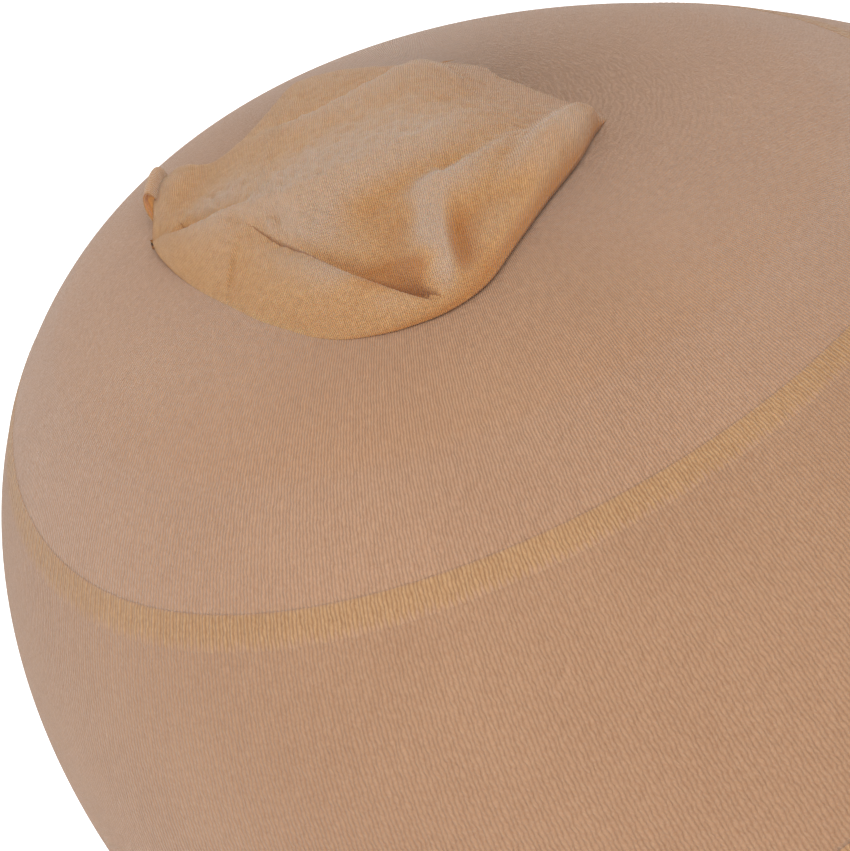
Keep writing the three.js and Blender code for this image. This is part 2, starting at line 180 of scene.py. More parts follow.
def grid_piece(name, points, patterns, wrap_u=False, wrap_v=False, smooth=True, tints=None):
    """A mesh from a grid of points, with its first index u running down and its second v round. Faces
    join neighbours in the order (u, v), (u+1, v), (u+1, v+1), (u, v+1), so they face along du x dv. The
    patterns are the piece's UV places, on a grid one step longer where the mesh wraps, and tints are
    its points' shares of its own colour, with the rest from the neighbouring knit."""
    rows, columns = points.shape[:2]
    index = np.arange(rows * columns).reshape(rows, columns)
    if wrap_u:
        index = np.concatenate([index, index[:1]], axis=0)
    if wrap_v:
        index = np.concatenate([index, index[:, :1]], axis=1)
    place = np.arange(patterns.shape[0] * patterns.shape[1]).reshape(patterns.shape[:2])

    def corners(grid):
        return np.stack([grid[:-1, :-1], grid[1:, :-1], grid[1:, 1:], grid[:-1, 1:]], axis=-1).reshape(-1, 4)

    faces = corners(index)
    mesh = bpy.data.meshes.new(name)
    mesh.from_pydata(points.reshape(-1, 3), [], faces)
    layer = mesh.uv_layers.new(name="knit")
    layer.data.foreach_set("uv", patterns.reshape(-1, 2)[corners(place)].astype(np.float32).ravel())
    mesh.polygons.foreach_set("use_smooth", np.full(len(faces), smooth))
    if tints is not None:
        tint = mesh.attributes.new("tint", "FLOAT", "POINT")
        tint.data.foreach_set("value", tints.astype(np.float32).ravel())
    mesh.update()
    piece = bpy.data.objects.new(name, mesh)
    bpy.context.scene.collection.objects.link(piece)
    return piece


def thicken(piece, wall):
    """Gives a surface its wall on the inner side, with its open edges closed."""
    modifier = piece.modifiers.new("wall", "SOLIDIFY")
    modifier.thickness = wall
    modifier.offset = -1.0
    modifier.use_rim = True


def knit_material(name, yarn, gap, wales, rows, relief, fuzz, sheen, glow, contrast=0.3,
                  neighbour=None, speckle=0.7):
    """Plain knit on the UV map: u counts the wales and v the rows. Each wale has two legs, at the
    quarters of its width, and each leg leans inwards so that a row of them makes V stitches. The legs
    stand up as relief and take the yarn's colour, and the gaps between them take the darker one. Where
    the piece has a neighbour, its tint attribute mixes from the neighbour's two colours to its own."""
    material = bpy.data.materials.new(name)
    material.use_nodes = True
    tree = material.node_tree
    shader = tree.nodes["Principled BSDF"]

    def math_node(operation, first, second=None, third=None):
        node = tree.nodes.new("ShaderNodeMath")
        node.operation = operation
        for socket, value in zip(node.inputs, (first, second, third)):
            if value is None:
                continue
            if isinstance(value, (int, float)):
                socket.default_value = value
            else:
                tree.links.new(value, socket)
        return node.outputs[0]

    def noise(scale, detail, vector):
        node = tree.nodes.new("ShaderNodeTexNoise")
        node.inputs["Scale"].default_value = scale
        node.inputs["Detail"].default_value = detail
        tree.links.new(vector, node.inputs["Vector"])
        return node.outputs["Fac"]

    def mix(factor, first, second):
        node = tree.nodes.new("ShaderNodeMix")
        node.data_type = "RGBA"
        tree.links.new(factor, node.inputs["Factor"])
        for socket, value in ((node.inputs["A"], first), (node.inputs["B"], second)):
            if isinstance(value, tuple):
                socket.default_value = (*value, 1.0)
            else:
                tree.links.new(value, socket)
        return node.outputs["Result"]

    coordinates = tree.nodes.new("ShaderNodeTexCoord")
    uv = tree.nodes.new("ShaderNodeUVMap")
    uv.uv_map = "knit"
    parts = tree.nodes.new("ShaderNodeSeparateXYZ")
    tree.links.new(uv.outputs["UV"], parts.inputs[0])
    wobble = noise(900.0, 2.0, coordinates.outputs["Object"])
    across = math_node("MULTIPLY_ADD", parts.outputs["X"], float(wales), math_node("MULTIPLY", wobble, 0.5))
    along = math_node("MULTIPLY_ADD", parts.outputs["Y"], float(rows), math_node("MULTIPLY", wobble, 2.5))
    from_middle = math_node("ABSOLUTE", math_node("SUBTRACT", math_node("FRACT", across), 0.5))
    leg = math_node("SINE", math_node("MULTIPLY", from_middle, 2 * math.pi))
    lean = math_node("MULTIPLY_ADD", from_middle, 1.6, along)
    beat = math_node("COSINE", math_node("MULTIPLY", lean, 2 * math.pi))
    loop = math_node("MULTIPLY_ADD", beat, 0.15, 0.85)
    stitch = math_node("MULTIPLY", leg, loop)
    fibres = noise(2600.0, 4.0, coordinates.outputs["Object"])
    height = math_node("MULTIPLY_ADD", fibres, fuzz, stitch)

    clouds = noise(55.0, 3.0, coordinates.outputs["Object"])
    tone = tree.nodes.new("ShaderNodeMapRange")
    tone.inputs["From Min"].default_value = 0.35
    tone.inputs["From Max"].default_value = 0.65
    tone.inputs["To Min"].default_value = -0.06
    tone.inputs["To Max"].default_value = 0.06
    tree.links.new(clouds, tone.inputs["Value"])
    grain = noise(1500.0, 2.0, coordinates.outputs["Object"])
    share = math_node("MULTIPLY_ADD", stitch, contrast, math_node("MULTIPLY_ADD", fibres, 0.4, 0.1))
    specks = math_node("MULTIPLY_ADD", grain, speckle, 0.25 - speckle / 2 - contrast / 2)
    share = math_node("ADD", math_node("ADD", share, specks), tone.outputs["Result"])
    if neighbour:
        tint = tree.nodes.new("ShaderNodeAttribute")
        tint.attribute_name = "tint"
        yarn = mix(tint.outputs["Fac"], neighbour[0], yarn)
        gap = mix(tint.outputs["Fac"], neighbour[1], gap)
    colour = mix(share, gap, yarn)
    tree.links.new(colour, shader.inputs["Base Color"])
    bump = tree.nodes.new("ShaderNodeBump")
    bump.inputs["Strength"].default_value = 1.0
    bump.inputs["Distance"].default_value = relief
    tree.links.new(height, bump.inputs["Height"])
    tree.links.new(bump.outputs["Normal"], shader.inputs["Normal"])
    shader.inputs["Roughness"].default_value = 0.92
    shader.inputs["Specular IOR Level"].default_value = 0.25
    shader.inputs["Sheen Weight"].default_value = sheen
    shader.inputs["Sheen Roughness"].default_value = 0.5
    shader.inputs["Sheen Tint"].default_value = (0.95, 0.97, 1.0, 1.0)
    shader.inputs["Subsurface Weight"].default_value = glow
    shader.inputs["Subsurface Radius"].default_value = (1.0, 0.55, 0.25)
    shader.inputs["Subsurface Scale"].default_value = 0.0008
    return material


def finish_piece(piece, node, material):
    """Gives a knitted piece its finish, hangs it from the root body and hides the part that it replaces."""
    piece.data.materials.append(material)
    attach(piece, "root")
    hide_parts(node)


TURNS = 400
CROWN_ROWS = 160
TUCK = 0.0001
UNDERLAP = 0.0006
turns = np.arange(TURNS) / TURNS * 2 * math.pi
turn_places = np.arange(TURNS + 1) / TURNS
slit = MOUTH_HALF_LENGTH * MOUTH_HALF_WIDTH / np.hypot(MOUTH_HALF_WIDTH * np.cos(turns - MOUTH_TURN),
                                                      MOUTH_HALF_LENGTH * np.sin(turns - MOUTH_TURN))
crown_shares = np.linspace(0, 1, CROWN_ROWS + 1)[:, None] ** 0.9
crown_depths = slit + (CROWN_DEPTH + TUCK - slit) * crown_shares
crown_groove = -DENSER_GROOVE * np.exp(-((crown_depths - DENSER_DEPTH) / DENSER_STEP) ** 2)
crown_tints = np.clip(0.5 - (crown_depths - DENSER_DEPTH) / (6 * DENSER_STEP), 0, 1)
crown_directions = knit_direction(crown_depths, np.broadcast_to(turns, crown_depths.shape))
crown_points = form_point(crown_directions, crown_groove)
crown_wrapped = np.pad(crown_depths, ((0, 0), (0, 1)), mode="wrap")
crown_places = np.stack(np.broadcast_arrays(turn_places, crown_wrapped), axis=-1)
crown = grid_piece("crown_knit", crown_points, crown_places, wrap_v=True, tints=crown_tints)
thicken(crown, KNIT_WALL)
crown_finish = knit_material("crown_knit", CROWN_YARN, CROWN_GAP, WALES, 1 / COURSE, relief=0.00013,
                             fuzz=0.5, sheen=0.22, glow=0.12, contrast=0.6,
                             neighbour=(LOOSER_YARN, LOOSER_GAP))
finish_piece(crown, "crown", crown_finish)

# The two ribbed lines: narrow bands where the tube is knitted denser and ribbed, so they stand a
# little proud and look more orange. Each is one run with the knit above and below it.
LINE_WIDTH = 0.0034
MIDDLE_BAND_DEPTH = 0.0424
RIB_HEIGHT = 0.00009
LINE_YARN = (0.45, 0.268, 0.137)
LINE_GAP = (0.26, 0.130, 0.058)
RIB_STEPS = 8
RIB_COURSE = 0.0009
UPPER_FADE = 0.08
UPPER_TINT_FADE = 0.07
LOWER_FADE = 0.3
# height of a wave as a share of the colour; waves round the cap; where it starts
FRAY_WAVES = ((0.10, 53, 0.0), (0.08, 131, 1.0), (0.06, 307, 2.0))
line_finish = knit_material("ribbed_knit", LINE_YARN, LINE_GAP, WALES, 1 / RIB_COURSE, relief=0.00012,
                            fuzz=0.5, sheen=0.15, glow=0.15, contrast=0.7,
                            neighbour=(LOOSER_YARN, LOOSER_GAP))


def ribbed_line(name, node, start):
    """A closed ring whose outside is ribbed: the lift grows with the absolute sine of the wale count
    and fades to nothing at both edges. Its colour ends rib by rib along the lower edge, in a slow wave,
    and its inside is plain."""
    around = np.arange(WALES * RIB_STEPS) / (WALES * RIB_STEPS) * 2 * math.pi
    shares = np.linspace(0, 1, 19)[:, None]
    depth = start + (LINE_WIDTH + UNDERLAP / 2) * shares * np.ones(around.size)
    rib = np.abs(np.sin(around * WALES / 2)) ** 0.7
    fray = sum(wave * np.sin(around * count + start_turn) for wave, count, start_turn in FRAY_WAVES)
    fade = np.clip(np.minimum(shares / UPPER_FADE, (1 - shares) / LOWER_FADE), 0, 1)
    lower_tint = np.clip((1 - shares) / LOWER_FADE + 0.9 * (rib - 0.75) + fray, 0, 1)
    tint = np.clip(shares / UPPER_TINT_FADE, 0, 1) * lower_tint
    outside = RIB_HEIGHT * (0.3 + 0.7 * rib) * np.sqrt(fade) - 0.00002 * (1 - fade)
    depths = np.concatenate([depth, depth[-1:], depth[:1]], axis=0)
    lifts = np.concatenate([outside, np.full((2, around.size), -KNIT_WALL)], axis=0)
    points = form_point(knit_direction(depths, np.broadcast_to(around, depths.shape)), lifts)
    wrapped = np.pad(depths, ((0, 1), (0, 1)), mode="wrap")
    places = np.stack(np.broadcast_arrays(np.linspace(0, 1, around.size + 1), wrapped), axis=-1)
    tints = np.concatenate([tint, np.ones((2, around.size))], axis=0)
    piece = grid_piece(name, points, places, wrap_u=True, wrap_v=True, tints=tints)
    finish_piece(piece, node, line_finish)
    return piece


ribbed_line("upper_ribbed_knit", "upper_ribbed_line", CROWN_DEPTH)
ribbed_line("lower_ribbed_knit", "lower_ribbed_line", CROWN_DEPTH + LINE_WIDTH + MIDDLE_BAND_DEPTH)

# The middle band: plain knit between the two ribbed lines, a little smoother and pinker than the
# crown. It is the same tube of knitting, stretched evenly, with no seam.
BAND_YARN = (0.40, 0.236, 0.140)
BAND_GAP = (0.27, 0.140, 0.075)
BAND_ROWS = 48


def band_piece(name, start, end, wall, rows):
    """A band of the form between two depths, in even rows, with its wall on the inner side."""
    depths = np.linspace(start, end, rows + 1)[:, None] * np.ones(TURNS)
    points = form_point(knit_direction(depths, np.broadcast_to(turns, depths.shape)), np.zeros(depths.shape))
    wrapped = np.pad(depths, ((0, 0), (0, 1)), mode="wrap")
    places = np.stack(np.broadcast_arrays(turn_places, wrapped), axis=-1)
    piece = grid_piece(name, points, places, wrap_v=True)
    thicken(piece, wall)
    return piece


band_start = CROWN_DEPTH + LINE_WIDTH
band_end = band_start + MIDDLE_BAND_DEPTH
middle_band = band_piece("middle_band_knit", band_start - UNDERLAP, band_end + TUCK, KNIT_WALL, BAND_ROWS)
band_finish = knit_material("band_knit", BAND_YARN, BAND_GAP, WALES, 1 / COURSE, relief=0.00012,
                            fuzz=0.5, sheen=0.2, glow=0.12, contrast=0.55)
finish_piece(middle_band, "middle_band", band_finish)

# The welt: the last of the tube turned inwards and knitted to itself, so it is two plies thick with a
# rounded fold at the rim. It is plain and denser than the rest.
WELT_DEPTH = 0.031
WELT_WALL = 0.0012
WELT_YARN = (0.35, 0.19, 0.10)
WELT_GAP = (0.24, 0.115, 0.052)
WELT_ROWS = 36
WELT_BEND_STEPS = 11


def welt_piece(name, start, end, wall):
    """A closed ring: down the outside, round a half circle at the rim and up the inside, whose top edge
    is flat. The half circle's depth grows as the cosine and its lift falls as the sine of its angle."""
    outside = np.linspace(start, end - wall / 2, WELT_ROWS)
    bend = np.linspace(-math.pi / 2, math.pi / 2, WELT_BEND_STEPS)[1:-1]
    depth = np.concatenate([outside, end - wall / 2 + wall / 2 * np.cos(bend), outside[::-1]])
    rounded = -wall / 2 - wall / 2 * np.sin(bend)
    lift = np.concatenate([np.zeros(WELT_ROWS), rounded, np.full(WELT_ROWS, -wall)])
    depths = depth[:, None] * np.ones(TURNS)
    lifts = lift[:, None] * np.ones(TURNS)
    points = form_point(knit_direction(depths, np.broadcast_to(turns, depths.shape)), lifts)
    along = np.concatenate([[0], np.cumsum(np.hypot(np.diff(depth), np.diff(lift)))]) + start
    along = np.append(along, along[-1] + wall)[:, None] * np.ones(TURNS + 1)
    places = np.stack(np.broadcast_arrays(turn_places, along), axis=-1)
    return grid_piece(name, points, places, wrap_u=True, wrap_v=True)


welt_start = band_end + LINE_WIDTH
welt = welt_piece("rim_welt_knit", welt_start - UNDERLAP, welt_start + WELT_DEPTH, WELT_WALL)
welt_finish = knit_material("welt_knit", WELT_YARN, WELT_GAP, WALES, 1 / COURSE, relief=0.00013,
                            fuzz=0.5, sheen=0.2, glow=0.1, contrast=0.6)
finish_piece(welt, "rim_welt", welt_finish)

# The toe: the closed end of the tube, not stretched, so it lies slack on the crown as a pouch of two
# plies. Its top ply runs on from the crown at its root, and its edges are soft folds of the same knit.
TOE_LENGTH = 0.054
TOE_WIDTH = 0.050
TOE_RISE = 0.007
TOE_FLAT = 0.0009
TOE_WALL = 0.00045
UNDER_WALL = 0.00015
UNDER_MARGIN = 0.03
TOE_FROM_MIDDLE = 0.0118
TOE_TURN = math.radians(35.3)
TOE_HEADING = math.radians(-60.0)
TOE_CLEAR = 0.00002
LEAST_SWELL = 0.0002
CREST_ROUND = 0.0003
ROOT_FROM = (-0.235, -0.540)
ROOT_TO = (-0.490, -0.180)
ROOT_FADE_FROM = 0.011
ROOT_FADE_TO = 0.005
FLAT_FADE = 0.020
CRUMPLE_WAVES = 40
CRUMPLE_HEIGHT = 0.000028
TOE_YARN = (0.53, 0.294, 0.130)
TOE_GAP = (0.385, 0.190, 0.072)
# Pale grey for pilled knit, and for painted sheen and highlights on crests and lit sides, where the relief
# attribute is over nothing.
PILLING_AND_SHEEN_COLOUR = (0.455, 0.308, 0.213)
# Deep orange painted shade for hollows, the toe's rim and its underside, where the relief attribute is under
# nothing.
HOLLOW_SHADE_COLOUR = (0.40, 0.160, 0.042)
# Dark painted shadow along the lip's crease, the tip's crevice and the line under the toe's edge;
# CREASE_WIDTH and CREASE_DEEPEST set its width.
CREASE_SHADOW_COLOUR = (0.20, 0.062, 0.014)
CREASE_WIDTH = 0.0011
CREASE_DEEPEST = 0.28
HOLLOW_DEPTH = 0.0013
# Painted shade: EDGE_SHADE darkens the lower part of the toe's front rim and UNDER_SHADE its underside, and
# EDGE_LINE sets how far up the rim the painted shadow line under the edge reaches.
EDGE_SHADE = 2.6
EDGE_LINE = 0.32
SHARP_EDGE = 70
ROUND_EDGE = 11
END_ROUND = 20
THIN_EDGE = 0.12
THICK_EDGE = 0.2
RIM_CLOSING = 0.96
SIDE_CHANGE = 0.0006
UNDER_SHADE = 1.5
TINT_FADE = 0.018
BLUR_ROUNDS = 160
TOE_ROWS = 200
TOE_COLUMNS = 180
UNDER_STEPS = 61
TOE_WALE = 0.00046
TOE_COURSE = 0.0004
# along: share of the length; back, front: share of the width; edge: height of the front edge, share of the
# rise; slope: share of the width over which the folds come down to it
TOE_SECTIONS = np.array([
    (-0.490, -0.185, -0.150, 0.14, 0.03),
    (-0.463, -0.222, -0.080, 0.24, 0.03),
    (-0.419, -0.282, 0.031, 0.29, 0.04),
    (-0.341, -0.392, 0.161, 0.29, 0.04),
    (-0.263, -0.500, 0.280, 0.25, 0.05),
    (-0.195, -0.545, 0.369, 0.20, 0.06),
    (-0.107, -0.530, 0.420, 0.13, 0.08),
    (-0.007, -0.532, 0.436, 0.09, 0.12),
    (0.061, -0.552, 0.431, 0.06, 0.17),
    (0.133, -0.574, 0.412, 0.035, 0.24),
    (0.184, -0.562, 0.383, 0.02, 0.30),
    (0.233, -0.455, 0.344, 0.01, 0.32),
    (0.303, -0.352, 0.275, 0.01, 0.30),
    (0.370, -0.330, 0.187, 0.01, 0.26),
    (0.437, -0.355, 0.090, 0.02, 0.18),
    (0.486, -0.365, 0.010, 0.06, 0.09),
    (0.521, -0.355, -0.060, 0.10, 0.05),
    (0.545, -0.330, -0.120, 0.12, 0.04),
    (0.560, -0.300, -0.180, 0.12, 0.04),
])
# name; crest as (along, across, rise) shares; spread on the left and right of its run, share of the width
TOE_FOLDS = (
    ("lip", (
        (0.514, -0.101, 0.20), (0.387, -0.031, 0.38), (0.255, 0.004, 0.34), (0.188, 0.125, 0.24),
        (0.070, 0.292, 0.48), (-0.030, 0.383, 0.43), (-0.113, 0.427, 0.17),
    ), 0.018, 0.240),
    ("pilled_swell", (
        (0.209, 0.011, 0.26), (0.164, 0.054, 0.30), (0.115, 0.108, 0.28), (0.067, 0.164, 0.22),
        (0.021, 0.209, 0.16),
    ), 0.110, 0.070),
    ("tip_roll", (
        (0.477, -0.122, 0.15), (0.489, -0.205, 0.32), (0.486, -0.273, 0.38), (0.462, -0.335, 0.25),
    ), 0.050, 0.075),
    ("main_swell", (
        (0.376, -0.054, 0.20), (0.260, -0.040, 0.30), (0.182, -0.018, 0.40), (0.092, -0.008, 0.48),
        (-0.072, -0.054, 0.46), (-0.211, -0.132, 0.26), (-0.307, -0.240, 0.00),
    ), 0.190, 0.110),
    ("cross_arm", (
        (-0.058, 0.118, 0.18), (-0.149, 0.105, 0.46), (-0.244, 0.023, 0.30), (-0.374, -0.136, 0.00),
    ), 0.050, 0.080),
    ("cross_stem", (
        (-0.142, 0.109, 0.40), (-0.122, 0.247, 0.52), (-0.118, 0.337, 0.48), (-0.093, 0.411, 0.28),
        (-0.067, 0.418, 0.12),
    ), 0.020, 0.085),
    ("right_ridge", (
        (-0.474, -0.141, 0.25), (-0.425, -0.089, 0.48), (-0.371, 0.001, 0.56), (-0.322, 0.080, 0.50),
        (-0.259, 0.115, 0.27), (-0.189, 0.113, 0.00),
    ), 0.055, 0.060),
    ("right_edge", (
        (-0.117, 0.428, 0.14), (-0.198, 0.360, 0.24), (-0.290, 0.216, 0.26), (-0.373, 0.075, 0.24),
        (-0.467, -0.129, 0.10),
    ), 0.110, 0.060),
    ("far_fold", (
        (0.227, -0.322, 0.10), (0.099, -0.271, 0.27), (-0.031, -0.299, 0.40), (-0.093, -0.354, 0.43),
        (-0.143, -0.444, 0.30), (-0.277, -0.432, 0.00),
    ), 0.034, 0.140),
    ("far_rim", (
        (0.446, -0.329, 0.08), (0.313, -0.324, 0.10), (0.244, -0.418, 0.12), (0.191, -0.531, 0.18),
        (0.074, -0.526, 0.18), (-0.070, -0.494, 0.10),
    ), 0.030, 0.090),
)

# name; line as (along, across, rise) shares, below nothing for a groove; spread, share of the width
# The lines of the first two also place the painted crease shadows.
TOE_CREASES = (
    ("under_lip", (
        (0.248, 0.051, -0.05), (0.214, 0.096, -0.10), (0.174, 0.142, -0.11), (0.126, 0.199, -0.12),
        (0.076, 0.258, -0.16), (0.012, 0.315, -0.24), (-0.028, 0.347, -0.28), (-0.086, 0.387, -0.12),
    ), 0.016),
    ("tip_crevice", (
        (0.444, -0.118, -0.03), (0.433, -0.100, -0.16), (0.360, -0.071, -0.18), (0.280, -0.043, -0.03),
    ), 0.018),
    ("bend_wrinkle", (
        (0.235, 0.025, -0.02), (0.207, 0.041, -0.09), (0.191, 0.056, -0.10), (0.203, 0.076, -0.03),
    ), 0.012),
    ("lip_wrinkle", (
        (0.303, -0.002, -0.02), (0.277, 0.017, -0.06), (0.255, 0.036, -0.02),
    ), 0.012),
    ("right_valley", (
        (-0.141, 0.172, -0.02), (-0.156, 0.245, -0.12), (-0.171, 0.312, -0.13), (-0.179, 0.366, -0.04),
    ), 0.030),
    ("stem_valley", (
        (-0.079, 0.112, -0.02), (-0.058, 0.176, -0.08), (-0.046, 0.268, -0.06),
    ), 0.040),
    ("main_pinch", (
        (0.352, -0.040, 0.03), (0.265, -0.007, 0.08), (0.186, 0.015, 0.10), (0.093, 0.022, 0.09),
        (-0.072, -0.024, 0.06), (-0.190, -0.112, 0.03),
    ), 0.026),
    ("arm_pinch", (
        (-0.079, 0.113, 0.02), (-0.150, 0.104, 0.04), (-0.242, 0.024, 0.05), (-0.338, -0.082, 0.02),
    ), 0.022),
    ("stem_pinch", (
        (-0.131, 0.126, 0.01), (-0.126, 0.246, 0.05), (-0.122, 0.336, 0.06), (-0.103, 0.401, 0.03),
    ), 0.016),
    ("right_pinch", (
        (-0.451, -0.118, 0.02), (-0.373, -0.001, 0.08), (-0.322, 0.080, 0.07), (-0.259, 0.115, 0.02),
    ), 0.022),
    ("far_pinch", (
        (0.231, -0.319, 0.05), (0.102, -0.269, 0.10), (-0.030, -0.298, 0.10), (-0.093, -0.354, 0.05),
    ), 0.018),
    ("top_pinch", (
        (0.063, -0.158, 0.02), (-0.060, -0.183, 0.05), (-0.114, -0.211, 0.05), (-0.186, -0.291, 0.01),
    ), 0.024),
)
# name; middle as (along, across) and reach as (along, across) shares; relief that it adds to the colour.
# Patches over nothing paint pilling together with painted sheen and highlights on crests and lit sides;
# patches under nothing paint shade in hollows and under crests, and the brown patch makes the knit darker.
TOE_PILLING_AND_LIGHT_PATCHES = (
    ("rough_and_sheen_flap", (-0.030, -0.107), (0.320, 0.260), 0.75),
    ("pilling_and_sheen", (0.142, 0.054), (0.110, 0.120), 1.00),
    ("main_ridge_highlight", (0.003, -0.025), (0.160, 0.050), 0.35),
    ("tip_pilled", (0.347, -0.119), (0.080, 0.050), 0.70),
    ("brown", (0.024, 0.112), (0.050, 0.060), -0.25),
    ("stem_lit_side", (-0.103, 0.201), (0.018, 0.070), 0.45),
    ("over_lip_shade", (-0.018, 0.316), (0.085, 0.040), -2.30),
    ("beside_stem_shade", (-0.155, 0.238), (0.024, 0.080), -0.15),
    ("right_crest_highlight", (-0.384, -0.023), (0.075, 0.050), 1.90),
    ("under_right_crest_shade", (-0.401, 0.012), (0.100, 0.070), -0.35),
    ("far_flap_light", (0.140, -0.443), (0.160, 0.080), 0.30),
    ("upper_flap", (0.034, -0.211), (0.160, 0.100), -0.05),
    ("lip", (0.115, 0.340), (0.220, 0.090), -0.10),
)

toe_direction = knit_direction(np.array(TOE_FROM_MIDDLE), np.array(TOE_TURN))
toe_middle = form_point(toe_direction, 0.0)
toe_up = form_point(toe_direction, 0.001) - toe_middle
toe_up = toe_up / np.linalg.norm(toe_up)
down_knit = knit_direction(np.array(TOE_FROM_MIDDLE + 0.001), np.array(TOE_TURN)) - toe_direction
down_knit = down_knit - toe_up * (down_knit @ toe_up)
down_knit = down_knit / np.linalg.norm(down_knit)
toe_along = down_knit * math.cos(TOE_HEADING) + np.cross(toe_up, down_knit) * math.sin(TOE_HEADING)
toe_across = np.cross(toe_up, toe_along)


def toe_point(along, across, lift):
    """A place on the toe's own flat map, which touches the form at the toe's middle, carried down to
    the form along the line to the form's middle, and then out by lift."""
    direction = toe_middle + along[..., None] * toe_along + across[..., None] * toe_across
    return form_point(direction / np.linalg.norm(direction, axis=-1, keepdims=True), lift)


def smooth_through(places, values, at):
    """A curve through the values: on each span a cubic whose slopes at its ends are those of the line
    between the neighbours on either side."""
    i = np.clip(np.searchsorted(places, at) - 1, 0, len(places) - 2)
    before, after = np.maximum(i - 1, 0), np.minimum(i + 2, len(places) - 1)
    span = places[i + 1] - places[i]
    t = np.clip((at - places[i]) / span, 0, 1)
    first = (values[i + 1] - values[before]) / (places[i + 1] - places[before]) * span
    last = (values[after] - values[i]) / (places[after] - places[i]) * span
    return ((2 * t**3 - 3 * t**2 + 1) * values[i] + (t**3 - 2 * t**2 + t) * first
            + (3 * t**2 - 2 * t**3) * values[i + 1] + (t**3 - t**2) * last)


def beside_line(along, across, line):
    """For each place, the signed distance to the nearest point of a smooth line, over nothing on the
    left of its run, and the line's rise there. The line's points are in shares of the toe's sizes."""
    line = np.array(line) * (TOE_LENGTH, TOE_WIDTH, TOE_RISE)
    steps = np.linspace(0, len(line) - 1, 12 * (len(line) - 1) + 1)
    knots = np.arange(len(line), dtype=float)
    line = np.stack([smooth_through(knots, line[:, k], steps) for k in range(3)], axis=-1)
    run = np.gradient(line[:, :2], axis=0)
    off_along = along[..., None] - line[:, 0]
    off_across = across[..., None] - line[:, 1]
    nearest = np.argmin(off_along**2 + off_across**2, axis=-1)
    off = np.stack([np.take_along_axis(off_along, nearest[..., None], -1)[..., 0],
                    np.take_along_axis(off_across, nearest[..., None], -1)[..., 0]], axis=-1)
    run = run[nearest]
    side = (run[..., 0] * off[..., 1] - run[..., 1] * off[..., 0]) / np.linalg.norm(run, axis=-1)
    return side, np.linalg.norm(off, axis=-1), line[nearest, 2]


def fold_height(along, across, crest, left, right, power):
    """What one fold adds: the crest's rise at its nearest point, times exp(-(d / spread)^power), where
    d is the distance to the crest made round within CREST_ROUND, with one spread on the left of the
    crest's run and another on its right."""
    side, off, rise = beside_line(along, across, crest)
    turn = np.clip(side / SIDE_CHANGE, -1, 1) / 2 + 0.5
    spread = TOE_WIDTH * (right + (left - right) * turn)
    distance = np.sqrt(off**2 + CREST_ROUND**2) - CREST_ROUND
    return rise * np.exp(-(distance / spread) ** power)


def crease_places(along, across, line):
    """Where a place lies across a crease: under nothing in front of its line and over nothing behind
    it, 1 at the end of its shade, which is as wide as the crease is deep."""
    side, off, rise = beside_line(along, across, line)
    width = CREASE_WIDTH * np.clip(-rise / (TOE_RISE * CREASE_DEEPEST), 0.05, 1)
    return np.where(side > 0, 1, -1) * off / width


def patch_pilling_and_light(along, across):
    """What the patches add to the colour's relief, pilling together with painted highlights and painted
    shade: each fades as exp(-(distance over its reach)^2) from its middle."""
    total = 0
    for _, middle, reach, amount in TOE_PILLING_AND_LIGHT_PATCHES:
        off_along = (along / TOE_LENGTH - middle[0]) / reach[0]
        off_across = (across / TOE_WIDTH - middle[1]) / reach[1]
        total = total + amount * np.exp(-(off_along**2 + off_across**2))
    return total


def crumple(along, across):
    """Small even lumps of slack knit: a sum of seeded sine waves 1 to 4 mm long in all directions."""
    draw = np.random.default_rng(11)
    heading = draw.uniform(0, 2 * math.pi, CRUMPLE_WAVES)
    wave = 2 * math.pi / draw.uniform(0.0011, 0.004, CRUMPLE_WAVES)
    start = draw.uniform(0, 2 * math.pi, CRUMPLE_WAVES)
    phase = (along[..., None] * np.cos(heading) + across[..., None] * np.sin(heading)) * wave + start
    return CRUMPLE_HEIGHT * np.sin(phase).sum(-1)


def root_distance(along, across):
    """How far a place lies inside the root line, where the ply runs on from the crown, and its share
    of the way along that line."""
    first = np.array(ROOT_FROM) * (TOE_LENGTH, TOE_WIDTH)
    line = np.array(ROOT_TO) * (TOE_LENGTH, TOE_WIDTH) - first
    reach = np.linalg.norm(line)
    place = ((along - first[0]) * line[0] + (across - first[1]) * line[1]) / reach**2
    inwards = ((across - first[1]) * -line[0] + (along - first[0]) * line[1]) / reach
    return inwards, place


def root_share(along, across):
    """0 on the root line and 1 past a fade that grows longer towards the line's first end; between
    them 3t^2 - 2t^3."""
    inwards, place = root_distance(along, across)
    fade = ROOT_FADE_FROM + (ROOT_FADE_TO - ROOT_FADE_FROM) * np.clip(place, 0, 1)
    t = np.clip(inwards / fade, 0, 1)
    return t**2 * (3 - 2 * t)


